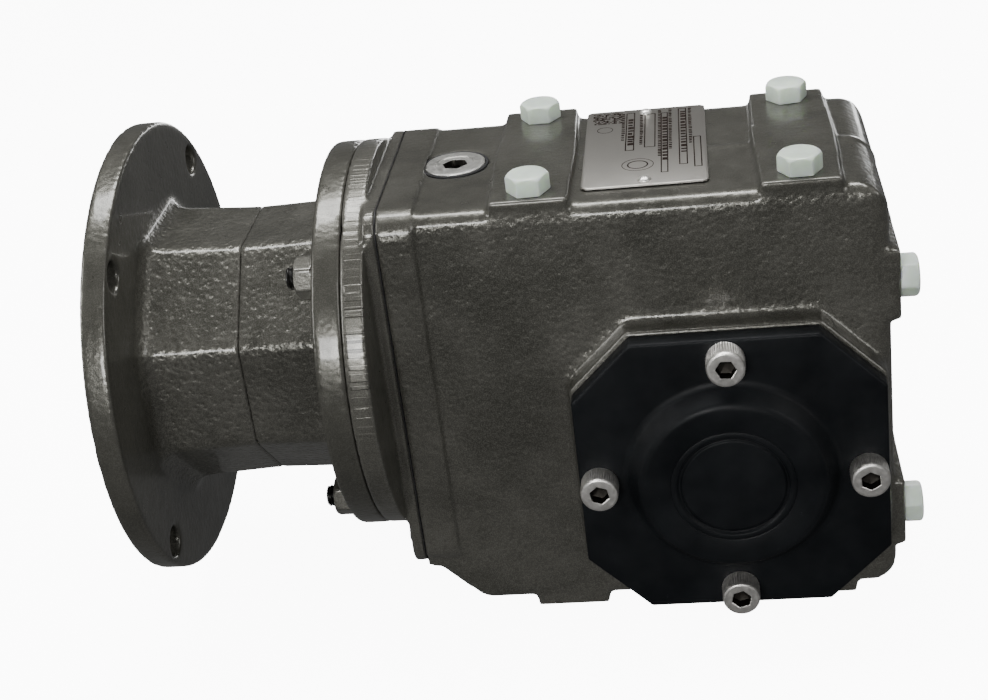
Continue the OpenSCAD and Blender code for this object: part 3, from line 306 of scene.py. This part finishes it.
FINISH = {
    "gear_housing": PAINT_ROUGH,
    "pinion_housing": PAINT_RIM,
    "coupling_housing": PAINT_HUB,
    "motor_adapter": PAINT_HUB,
    "housing_gasket": RUBBER_BLACK,
    "housing_screws": STEEL_DARK,
    "housing_dowels": STEEL_GROUND,
    "adapter_studs": STEEL_BLACK,
    "adapter_nuts": PAINT_SMOOTH,
    "adapter_o_ring": RUBBER_BLACK,
    "hub_joint_screws": STEEL_DARK,
    "output_cover": COVER,
    "cover_screws": STAINLESS,
    "cover_gasket": RUBBER_BLACK,
    "nameplate": PLATE,
    "nameplate_pins": STAINLESS,
    "oil_filler_plug": PLUG_STEEL,
    "oil_filler_seal": RUBBER_BLACK,
    "oil_drain_plug": PLUG_STEEL,
    "oil_level_plug": PLUG_STEEL,
    "top_hole_plugs": NYLON,
    "end_hole_plugs": NYLON,
    "bearing_closing_cap": PAINT_SMOOTH,
    "output_shaft": STEEL_GROUND,
    "output_gear": STEEL_GEAR,
    "output_gear_key": STEEL_DARK,
    "output_spacer": STEEL_GROUND,
    "output_shaft_circlips": STEEL_DARK,
    "output_retaining_rings": STEEL_DARK,
    "output_shaft_seals": RUBBER_BROWN,
    "intermediate_shaft": STEEL_GEAR,
    "bevel_wheel": STEEL_GEAR,
    "bevel_wheel_key": STEEL_DARK,
    "bevel_pinion_shaft": STEEL_GEAR,
    "pinion_bearing_spacer": STEEL_GROUND,
    "pinion_locknut": STEEL_DARK,
    "input_seal": RUBBER_BROWN,
    "gearbox_coupling_hub": ALLOY,
    "motor_coupling_hub": ALLOY,
    "coupling_spider": SPIDER_RED,
    "coupling_key": STEEL_DARK,
    "coupling_clamp_screw": STEEL_DARK,
}
for node_name, node in NODES.items():
    if node_name.endswith("_cages"):
        finish = BRASS
    elif "_bearing_" in node_name and node_name not in FINISH:
        finish = STEEL_BEARING
    else:
        finish = FINISH[node_name]
    node.data.materials.clear()
    node.data.materials.append(finish)


# ---------------------------------------------------------------- meshes from rings


def polar(radius, z, count=96):
    """A ring of points at height z in mm; radius is in mm, a number or a function of the angle."""
    points = []
    for i in range(count):
        angle = 2 * math.pi * i / count
        r = radius(angle) if callable(radius) else radius
        points.append(Vector((r * math.cos(angle), r * math.sin(angle), z)))
    return points


def flats(across, softness=90.0):
    """Radius of a hexagon with slightly rounded corners, as a function of the angle."""
    step = math.pi / 3
    corner = 0.995 * across / 2 / math.cos(step / 2)

    def radius(angle):
        offset = (angle + step / 2) % step - step / 2
        to_flat = across / 2 / math.cos(offset)
        return (to_flat**-softness + corner**-softness) ** (-1 / softness)

    return radius


def capped(radius, limit):
    """A radius function cut off at limit, as a cone chamfers a hexagon."""
    return lambda angle: min(radius(angle), limit)


def rounded(width, depth, r, z, steps=8):
    """Outline of a rectangle with round corners, centred on the local origin."""
    points = []
    for k, (side_x, side_y) in enumerate(((1, 1), (-1, 1), (-1, -1), (1, -1))):
        x, y = side_x * (width / 2 - r), side_y * (depth / 2 - r)
        for i in range(steps + 1):
            angle = math.pi / 2 * (k + i / steps)
            points.append(Vector((x + r * math.cos(angle), y + r * math.sin(angle), z)))
    return points


def loft(bm, rings, place, hollow=False, socket=0):
    """Skins rings of equal length. The ends are capped, or joined if the loft is hollow.

    The last rings, as many as socket says, get the piece's second material, the socket's painted
    shade.
    """
    rows = [[bm.verts.new(place @ (p * MM)) for p in ring] for ring in rings]
    pairs = list(zip(rows, rows[1:]))
    if hollow:
        pairs.append((rows[-1], rows[0]))
    else:
        bm.faces.new(rows[0][::-1])
        bm.faces.new(rows[-1]).material_index = int(socket > 0)
    for k, (low, high) in enumerate(pairs):
        for i in range(len(low)):
            face = bm.faces.new((low[i - 1], low[i], high[i], high[i - 1]))
            face.material_index = int(k >= len(pairs) - socket)


def at(point, towards=(0, 0, 1), turn=0.0):
    """A place whose local Z points towards a direction, turned about it by degrees."""
    aim = Vector(towards).to_track_quat("Z", "Y").to_matrix().to_4x4()
    return Matrix.Translation(point) @ aim @ Matrix.Rotation(math.radians(turn), 4, "Z")


def piece(name, bm, finish, nodes, body="housing", sharp=38):
    """Turns a bmesh into a piece that rides on a body and stands for CAD nodes."""
    bmesh.ops.recalc_face_normals(bm, faces=bm.faces)
    mesh = bpy.data.meshes.new(name)
    bm.to_mesh(mesh)
    bm.free()
    mesh.polygons.foreach_set("use_smooth", [True] * len(mesh.polygons))
    mesh.set_sharp_from_angle(angle=math.radians(sharp))
    mesh.materials.append(finish)
    # A piece with socket faces gets the socket's painted shade as its second material.
    if any(face.material_index for face in mesh.polygons):
        mesh.materials.append(SOCKET_SHADE)
    made = bpy.data.objects.new(name, mesh)
    bpy.context.collection.objects.link(made)
    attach(made, body)
    if nodes:
        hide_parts(*nodes)


def solids(node_name):
    """The lowest and highest corner of each separate solid of a CAD node."""
    bm = bmesh.new()
    bm.from_mesh(NODES[node_name].data)
    bmesh.ops.remove_doubles(bm, verts=bm.verts, dist=MM / 1000)
    found, left = [], set(bm.verts)
    while left:
        edge = [left.pop()]
        points = []
        while edge:
            vertex = edge.pop()
            points.append(vertex.co.copy())
            near = {e.other_vert(vertex) for e in vertex.link_edges} & left
            left -= near
            edge.extend(near)
        found.append(
            (
                Vector([min(p[i] for p in points) for i in range(3)]),
                Vector([max(p[i] for p in points) for i in range(3)]),
            )
        )
    bm.free()
    return sorted(found, key=lambda box: tuple(round(c, 4) for c in box[0]))


def tip(box, towards):
    """The middle of the face of a box that looks towards a direction."""
    low, high = box
    out = Vector(towards)
    reach = sum(abs(out[i]) * (high[i] - low[i]) / 2 for i in range(3))
    return (low + high) / 2 + out * reach


# ---------------------------------------------------------------- fasteners and plugs

UP, DOWN = (0, 0, 1), (0, 0, -1)
RIGHT, MOTOR = (1, 0, 0), (-1, 0, 0)
FRONT, BACK = (0, -1, 0), (0, 1, 0)


def knurled(radius, depth, teeth):
    """Radius of a knurled rim, as a function of the angle."""
    return lambda angle: radius - depth * abs(math.sin(teeth / 2 * angle))


def cap_screw(bm, place, shank_r, r, h, socket, length):
    """A socket head screw; the top of its head is at local Z = 0."""
    count, teeth, chamfer = 288, 48, 0.8
    knurl, hexagon, foot = knurled(r, 0.045 * r, teeth), flats(socket), -h - length
    shank = [(0.5, foot), (shank_r - chamfer, foot), (shank_r, foot + chamfer), (shank_r, -h)]
    head = [
        (r - 0.5, -h), (r - 0.1, 0.25 - h), (knurl, 0.6 - h), (knurl, -1.6), (r - 0.12, -1.25),
        (r - 0.18, -0.7), (r - 0.38, -0.25), (r - 0.8, -0.03), (r - 1.1, 0),
    ]
    drive = [
        (lambda angle: hexagon(angle) + 0.22, 0), (hexagon, -0.25), (hexagon, -3.9), (0.8, -4.7),
    ]
    rings = [polar(radius, z, count) for radius, z in shank + head + drive]
    # The socket's walls and floor take the painted shade.
    loft(bm, rings, place, socket=2)


def cap_screws(node_name, towards, shank_r, r, h, socket, finish, turns):
    """One piece with a socket head screw in place of each solid of a CAD node."""
    bm = bmesh.new()
    for box, turn in zip(solids(node_name), turns):
        length = abs((box[1] - box[0]).dot(Vector(towards))) / MM - h
        cap_screw(bm, at(tip(box, towards), towards, turn), shank_r, r, h, socket, length)
    piece(node_name + "_turned", bm, finish, [node_name])


def hex_plugs(node_name, towards, turns):
    """Nylon screw plugs with a chamfered hexagon and a softly domed top."""
    bm = bmesh.new()
    hexagon = flats(12.95, 55)
    for box, turn in zip(solids(node_name), turns):
        place = at(tip(box, towards), towards, turn)
        rings = [polar(0.5, -15.4), polar(2.8, -15.4), polar(3.5, -14.6), polar(3.5, -6.6)]
        rings += [
            polar(lambda a: hexagon(a) - inset, z)
            for inset, z in ((0.5, -6.6), (0.12, -6.45), (0, -6.1), (0, -1.75))
        ]
        rings += [
            polar(capped(hexagon, limit), z)
            for limit, z in ((7.3, -1.3), (7.0, -0.85), (6.6, -0.5), (6.2, -0.27))
        ]
        rings += [polar(5.6, -0.13), polar(4.6, -0.06), polar(2.5, -0.01), polar(0.5, 0)]
        loft(bm, rings, place)
    piece(node_name + "_moulded", bm, NYLON, [node_name])


def oil_plug(node_name, towards):
    """A flush steel plug with a turned collar and a hexagon socket."""
    r, thread_r, hexagon, turn = 10.75, 7.95, flats(8), 17
    profile = [
        (0.5, -9.5), (7.2, -9.5), (thread_r, -8.7), (thread_r, -2.2), (r, -2.2), (r, -0.5),
        (r - 0.15, -0.22), (r - 0.75, -0.03), (r - 1.4, 0), (6.9, 0), (6.7, -0.25), (5.7, -0.25),
        (lambda angle: hexagon(angle) + 0.25, -0.25), (hexagon, -0.55), (hexagon, -3.8),
        (0.8, -4.6),
    ]
    bm = bmesh.new()
    place = at(tip(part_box(node_name), towards), towards, turn)
    # The socket's walls and floor take the painted shade.
    loft(bm, [polar(radius, z) for radius, z in profile], place, socket=2)
    piece(node_name + "_turned", bm, PLUG_STEEL, [node_name])


def filler_seal():
    """The rubber ring around the filler plug, with a rounded top."""
    inner, outer, middle, foot = 10.84, 11.98, 11.4, -1.9
    profile = [
        (inner, foot), (inner, -0.25), (11.0, -0.06), (middle, 0), (11.8, -0.06),
        (outer, -0.25), (outer, foot),
    ]
    bm = bmesh.new()
    place = at(tip(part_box("oil_filler_seal"), UP))
    loft(bm, [polar(radius, z) for radius, z in profile], place, hollow=True)
    piece(
        "oil_filler_ring", bm, RUBBER_BLACK, ["oil_filler_seal"]
    )


def thread(r, depth, pitch, z):
    """Radius of a screw thread at height z, as a function of the angle."""
    return lambda angle: r - depth * abs(2 * ((z / pitch - angle / 2 / math.pi) % 1) - 1)


def studs_and_nuts():
    """The adapter's four studs, threaded at their ends, and their hexagon nuts."""
    r, depth, pitch, threaded, count = 3.95, 0.62, 1.25, 12.5, 64
    studs, nuts = bmesh.new(), bmesh.new()
    for box, turn in zip(solids("adapter_studs"), (0, 120, 70, 200)):
        length = (box[1].x - box[0].x) / MM
        profile = [(r - 0.6, -length), (r, 0.6 - length), (r, -threaded)]
        steps = int(threaded / pitch * 8)
        for i in range(1, steps):
            z = -threaded * (1 - i / steps)
            chamfer = max(0.0, z + 0.9)
            profile.append((thread(r - 0.7 * chamfer, depth * (1 - chamfer), pitch, z), z))
        profile += [(r - 1.0, 0), (0.5, 0)]
        rings = [polar(radius, z, count) for radius, z in profile]
        loft(studs, rings, at(tip(box, MOTOR), MOTOR, turn))
    hexagon, bore, nut_turn = flats(12.95, 80), 4.1, 15
    for box in solids("adapter_nuts"):
        h = (box[1].x - box[0].x) / MM
        profile = [
            (capped(hexagon, 6.7), -h), (capped(hexagon, 7.2), 0.4 - h), (hexagon, 0.8 - h),
            (hexagon, -1.0), (capped(hexagon, 7.2), -0.62), (capped(hexagon, 6.8), -0.28),
            (6.15, 0), (4.75, 0), (bore, -0.6), (bore, 0.6 - h), (4.7, -h),
        ]
        rings = [polar(radius, z) for radius, z in profile]
        loft(nuts, rings, at(tip(box, MOTOR), MOTOR, nut_turn), hollow=True)
    piece("adapter_studs_threaded", studs, STEEL_BLACK, ["adapter_studs"])
    piece("adapter_nuts_pressed", nuts, PAINT_SMOOTH, ["adapter_nuts"])


cap_screws("cover_screws", FRONT, 3.95, 6.5, 8.0, 6.0, STAINLESS, (11, 47, 28, 3))
cap_screws("hub_joint_screws", MOTOR, 2.95, 5.0, 6.0, 5.0, STEEL_DARK, (5, 40, 22, 51))
hex_plugs("top_hole_plugs", UP, (34, 28, 30, 37))
hex_plugs("end_hole_plugs", RIGHT, (12, 40))
for node_name, towards in (
    ("oil_filler_plug", UP), ("oil_drain_plug", DOWN), ("oil_level_plug", BACK),
):
    oil_plug(node_name, towards)
filler_seal()
studs_and_nuts()


# ---------------------------------------------------------------- cover and nameplate


def cut_square(half, side):
    """Radius of a square of half width half whose corners are cut off at side."""

    def radius(angle):
        c, s = abs(math.cos(angle)), abs(math.sin(angle))
        return min(half / max(c, s), (half + side) / (c + s))

    return radius


def output_cover():
    """A moulded cover: a cut square with a domed middle, grooves and a sunk blank disc."""
    low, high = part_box("output_cover")
    half = (high.x - low.x) / 2 / MM
    top = (high.y - low.y) / MM
    dome_h, dome_r, base_r, side = 7.0, 29.2, 37.5, 31.2
    face = top - dome_h
    slope = math.radians(55)
    arc = (base_r - dome_r) * math.sin(slope) - dome_h * math.cos(slope)
    arc /= 2 * (1 - math.cos(slope))
    profile = [(0.5, face + 2.5), (29.7, face + 2.5), (30.0, face + 2.2), (30.0, 0.0)]
    profile += [
        (cut_square(half - inset, side - 0.4 * inset), z)
        for inset, z in (
            (0.25, 0.0), (0.0, 0.25), (0.0, face - 0.95), (0.08, face - 0.6),
            (0.3, face - 0.25), (0.65, face - 0.05), (1.1, face), (6.0, face),
        )
    ]
    steps = 8
    for step in range(steps + 1):
        angle = math.radians(270) - slope * step / steps
        profile.append((base_r + arc * math.cos(angle), face + arc + arc * math.sin(angle)))
    for step in range(steps + 1):
        angle = math.radians(90) - slope * (1 - step / steps)
        profile.append((dome_r + arc * math.cos(angle), top - arc + arc * math.sin(angle)))
    profile += [
        (21.45, top), (21.25, top - 0.1), (21.1, top - 0.3), (20.95, top - 0.3),
        (20.8, top - 0.1), (20.6, top), (19.1, top), (18.85, top - 0.15),
        (18.6, top - 1.05), (18.4, top - 1.2), (17.8, top - 1.2), (17.6, top - 1.1),
        (17.35, top - 0.75), (17.1, top - 0.62), (16.8, top - 0.6), (8.0, top - 0.6),
        (0.5, top - 0.6),
    ]
    bm = bmesh.new()
    loft(
        bm, [polar(r, z, 480) for r, z in profile],
        at(Vector(((low.x + high.x) / 2, high.y, (low.z + high.z) / 2)), FRONT),
    )
    piece("output_cover_pressed", bm, COVER, ["output_cover"], sharp=60)


def nameplate():
    """A thin plate with generic print: bars, frames and rings, and no lettering."""
    low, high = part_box("nameplate")
    width, depth = (high.x - low.x) / MM, (high.y - low.y) / MM
    thick = (high.z - low.z) / MM
    place = Matrix.Translation(((low.x + high.x) / 2, (low.y + high.y) / 2, high.z))
    bm = bmesh.new()
    loft(
        bm,
        [
            rounded(width - 2 * inset, depth - 2 * inset, 2.2 - inset, z)
            for inset, z in (
                (0.1, -thick), (0.0, 0.1 - thick), (0.0, -0.2), (0.06, -0.06), (0.2, 0.0)
            )
        ],
        place,
    )
    piece("nameplate_sheet", bm, PLATE, ["nameplate"])

    ink = bmesh.new()
    ink_low, ink_high = -0.02, 0.03

    def bar(x0, y0, x1, y1):
        if x1 - x0 > 0.05 and y1 - y0 > 0.05:
            shift = Vector(((x0 + x1 - width) / 2, (y0 + y1 - depth) / 2, 0)) * MM
            rings = [rounded(x1 - x0, y1 - y0, 0.02, z, 1) for z in (ink_low, ink_high)]
            loft(ink, rings, place @ Matrix.Translation(shift))

    def frame_line(x0, y0, x1, y1, line=0.42):
        bar(x0, y0, x0 + line, y1)
        bar(x1 - line, y0, x1, y1)
        bar(x0, y0, x1, y0 + line)
        bar(x0, y1 - line, x1, y1)

    def dashes(x, y0, y1, tall, seed):
        """A row of short bars along Y, as lines of small print look from afar."""
        pick = random.Random(seed)
        y = y0
        while y < y1 - 0.6:
            run = min(pick.uniform(0.5, 1.1) * tall, y1 - y)
            bar(x, y, x + tall * pick.uniform(0.75, 1.0), y + run)
            y += run + tall * pick.uniform(0.28, 0.7)

    def ring_line(x, y, r_in, r_out):
        shift = Vector((x - width / 2, y - depth / 2, 0)) * MM
        profile = (r_in, ink_low), (r_in, ink_high), (r_out, ink_high), (r_out, ink_low)
        rings = [polar(r, z, 64) for r, z in profile]
        loft(ink, rings, place @ Matrix.Translation(shift), hollow=True)

    # A square of random tiles that encodes nothing.
    tiles, tile, tiles_across = random.Random(5), 0.62, 17
    for column in range(tiles_across):
        for row in range(tiles_across):
            if tiles.random() < 0.5:
                x, y = 2.2 + tile * column, 58.6 + tile * row
                bar(x, y, x + tile, y + tile)
    ring_line(6.8, 52.5, 2.6, 2.85)
    small, large = 1.25, 2.1
    for x, y0, y1, tall in (
        (12.7, 41, 69, small), (19.2, 36, 70, small), (25.6, 24, 69, small),
        (29.4, 30, 70, small), (36.4, 34, 69, small),
        (15.0, 36, 62, large), (27.2, 20, 62, large), (33.6, 26, 66, large),
    ):
        dashes(x, y0, y1, tall, int(10 * x))
    for x0, y0, x1, y1 in (
        (14.2, 31, 17.4, 68), (20.8, 33, 24.8, 66), (26.6, 9, 29.2, 66), (32.8, 15, 35.8, 69),
        (37.8, 12, 40.6, 40),
    ):
        frame_line(x0, y0, x1, y1)
    ring_line(18.8, 17.5, 3.1, 3.6)
    ring_line(18.8, 17.5, 5.2, 5.45)
    piece("nameplate_print", ink, PRINT, [])


def nameplate_pins():
    """The two rivets of the plate, with domed heads."""
    shank_r, head_r, head_h, count = 1.45, 2.25, 1.3, 48
    bm = bmesh.new()
    for box in solids("nameplate_pins"):
        length = (box[1].z - box[0].z) / MM
        profile = [(0.5, -length), (shank_r, -length), (shank_r, -head_h)]
        for step in range(10):
            angle = math.radians(10 * step)
            profile.append(
                (max(0.1, head_r * math.cos(angle)), -head_h + head_h * math.sin(angle))
            )
        rings = [polar(radius, z, count) for radius, z in profile]
        loft(bm, rings, at(tip(box, UP)))
    piece("nameplate_pins_domed", bm, STAINLESS, ["nameplate_pins"])


output_cover()
nameplate()
nameplate_pins()


# ---------------------------------------------------------------- castings


def relax(mesh, passes):
    """Rounds edges. passes is a list of (rounds, weight function of the points)."""
    count = len(mesh.vertices)
    flat = np.empty(count * 3)
    mesh.vertices.foreach_get("co", flat)
    points = flat.reshape(-1, 3)
    pairs = np.empty(len(mesh.edges) * 2, np.int64)
    mesh.edges.foreach_get("vertices", pairs)
    a, b = pairs.reshape(-1, 2).T
    degree = np.bincount(pairs, minlength=count)[:, None]
    for rounds, weight in passes:
        share = 0.6 * weight(points)[:, None]
        for _ in range(rounds):
            total = np.stack(
                [
                    np.bincount(a, points[b, i], count) + np.bincount(b, points[a, i], count)
                    for i in range(3)
                ],
                axis=1,
            )
            points = points + share * (total / degree - points)
    mesh.vertices.foreach_set("co", points.ravel())
    mesh.update()


def casting(node_name, finish, passes):
    """A cast piece in place of a CAD node, with the edges rounded as in a mould."""
    node = NODES[node_name]
    cast = bpy.data.objects.new(node_name + "_cast", node.data.copy())
    bpy.context.collection.objects.link(cast)
    remesh = cast.modifiers.new("skin", "REMESH")
    remesh.mode = "VOXEL"
    remesh.voxel_size = VOXEL
    graph = bpy.context.evaluated_depsgraph_get()
    skin = bpy.data.meshes.new_from_object(cast.evaluated_get(graph))
    cast.modifiers.clear()
    cast.data = skin
    relax(skin, passes)
    faces = 2 * len(skin.polygons)
    if faces > CASTING_TRIANGLES:
        thin = cast.modifiers.new("thin", "DECIMATE")
        thin.ratio = CASTING_TRIANGLES / faces
    skin.materials.clear()
    skin.materials.append(finish)
    skin.polygons.foreach_set("use_smooth", [True] * len(skin.polygons))
    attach(cast, "housing")
    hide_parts(node_name)


def everywhere(points):
    return np.ones(len(points))


def within(points, x=None, y=None, z=None):
    """1 where a point lies between the given limits in mm, else 0; y is taken as |y|."""
    inside = np.ones(len(points))
    for values, limits in ((points[:, 0], x), (abs(points[:, 1]), y), (points[:, 2], z)):
        if limits:
            inside *= (values > limits[0] * MM) & (values < limits[1] * MM)
    return inside


def away_from(low, high):
    """Weight 1, but 0 between two stations along X in mm, where an edge stays crisp."""
    return lambda points: 1 - within(points, x=(low, high))


rounds = 4
casting(
    "gear_housing", PAINT_ROUGH,
    [
        (1, everywhere),
        (rounds, away_from(-112, -97)),
        (4 * rounds, lambda p: within(p, x=(-75, 60), y=(41, 47.5), z=(-56, 62))),
    ],
)
casting("pinion_housing", PAINT_RIM, [(1, everywhere)])
casting("coupling_housing", PAINT_HUB, [(1, everywhere), (rounds, away_from(-167, -162.5))])
casting("motor_adapter", PAINT_HUB, [(1, everywhere), (rounds, away_from(-167.5, -163))])


# ---------------------------------------------------------------- studio


def floor():
    """A pale floor that curves up into a pale dome, so that every view has a plain ground."""
    lowest = cad_box[0].z / MM
    flat_r, cove_r = 5000, 1500
    profile = [(1, lowest), (1500, lowest), (flat_r, lowest)]
    for step in range(1, 10):
        angle = math.radians(10 * step)
        rise = lowest + cove_r * (1 - math.cos(angle))
        profile.append((flat_r + cove_r * math.sin(angle), rise))
    profile += [(flat_r + cove_r, 6000), (4000, 8500), (1, 9500)]
    bm = bmesh.new()
    loft(bm, [polar(r, z) for r, z in profile], Matrix.Identity(4))
    bmesh.ops.recalc_face_normals(bm, faces=bm.faces)
    bmesh.ops.reverse_faces(bm, faces=bm.faces)
    mesh = bpy.data.meshes.new("floor")
    bm.to_mesh(mesh)
    bm.free()
    mesh.polygons.foreach_set("use_smooth", [True] * len(mesh.polygons))
    ground = bpy.data.objects.new("floor", mesh)
    bpy.context.collection.objects.link(ground)
    r = Recipe("floor_white", Roughness=0.9, Emission_Strength=FLOOR_GLOW)
    r.shader.inputs["Emission Color"].default_value = (1, 1, 1, 1)
    r.colour(r.mix(r.noise(3, 2.0), (0.90, 0.90, 0.90), (0.94, 0.94, 0.94)))
    mesh.materials.append(r.mat)
    ground.visible_glossy = False
    ground.visible_diffuse = False
    ground.visible_shadow = False


def softbox(name, at_point, towards, size, watts):
    """A rectangular area light at a point, aimed at another; size is in metres."""
    data = bpy.data.lights.new(name, "AREA")
    data.shape = "RECTANGLE"
    data.size, data.size_y = size
    data.energy = watts
    lamp = bpy.data.objects.new(name, data)
    bpy.context.collection.objects.link(lamp)
    lamp.location = at_point
    aim = Vector(towards) - Vector(at_point)
    lamp.rotation_euler = aim.to_track_quat("-Z", "Y").to_euler()


def sky():
    """Dim, even room light, a little brighter from below than from above."""
    world = bpy.data.worlds.new("studio")
    world.use_nodes = True
    tree = world.node_tree
    background = tree.nodes["Background"]
    coords = tree.nodes.new("ShaderNodeTexCoord")
    split = tree.nodes.new("ShaderNodeSeparateXYZ")
    shade = tree.nodes.new("ShaderNodeMapRange")
    tree.links.new(coords.outputs["Generated"], split.inputs["Vector"])
    tree.links.new(split.outputs["Z"], shade.inputs["Value"])
    background.inputs["Color"].default_value = (1, 1, 1, 1)
    shade.inputs["From Min"].default_value = -0.1
    shade.inputs["From Max"].default_value = 0.9
    shade.inputs["To Min"].default_value = SKY_BELOW
    shade.inputs["To Max"].default_value = SKY_ABOVE
    tree.links.new(shade.outputs["Result"], background.inputs["Strength"])
    bpy.context.scene.world = world


def camera():
    """The picture's viewpoint, fitted to the part's own measured corners."""
    tilt, roll, pan = 64.7202, 6.7571, 4.9727
    data = bpy.data.cameras.new("camera")
    data.sensor_width = 36.0
    data.lens = 63.05
    data.shift_y = -0.0698
    data.clip_start, data.clip_end = 0.01, 50.0
    eye = bpy.data.objects.new("camera", data)
    bpy.context.collection.objects.link(eye)
    eye.location = (-0.0003, -0.5593, 0.3161)
    eye.rotation_euler = [math.radians(angle) for angle in (tilt, roll, pan)]
    bpy.context.scene.camera = eye


floor()
sky()
softbox("overhead", (-0.12, 0.24, 1.1), (-0.07, 0, 0.03), (1.0, 0.30), 17)
softbox("front", (-0.24, -1.15, 0.40), (-0.09, 0, 0.03), (0.45, 0.25), 8)
softbox("left", (-1.0, -0.3, 0.45), (-0.15, 0, 0.05), (0.25, 0.7), 4)
softbox("right", (0.9, -0.5, 0.6), (0, 0, 0.02), (0.4, 0.6), 3)
softbox("back", (0.1, 1.3, 0.02), (-0.05, 0, 0.03), (0.9, 0.15), 3)
camera()
